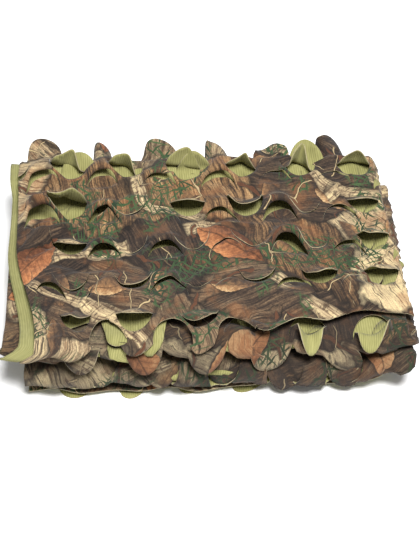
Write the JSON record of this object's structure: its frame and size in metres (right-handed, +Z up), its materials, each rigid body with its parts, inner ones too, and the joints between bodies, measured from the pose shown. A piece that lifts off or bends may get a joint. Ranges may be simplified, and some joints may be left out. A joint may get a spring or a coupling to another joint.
{
  "type": "folded die-cut camouflage cloth",
  "caption": "Length of printed camouflage cloth die cut with hinged leaf tongues, folded once lengthwise and then back and forth into a flat stack.",
  "frame": {"origin": "middle of the stack's box, on the surface that it rests on", "axes": "+X across the stack's width, from the selvedges to the lengthwise fold; +Y from the cloth's free ends to the back fold; +Z up through the layers"},
  "size_m": [0.4092, 0.2772, 0.0922],
  "materials": {
    "printed_cloth": "matte woven polyester, brown bark and leaf print on the face, plain sage green on the back"
  },
  "bodies": {
    "root": {"camo_cloth": "printed_cloth"}
  },
  "joints": []
}
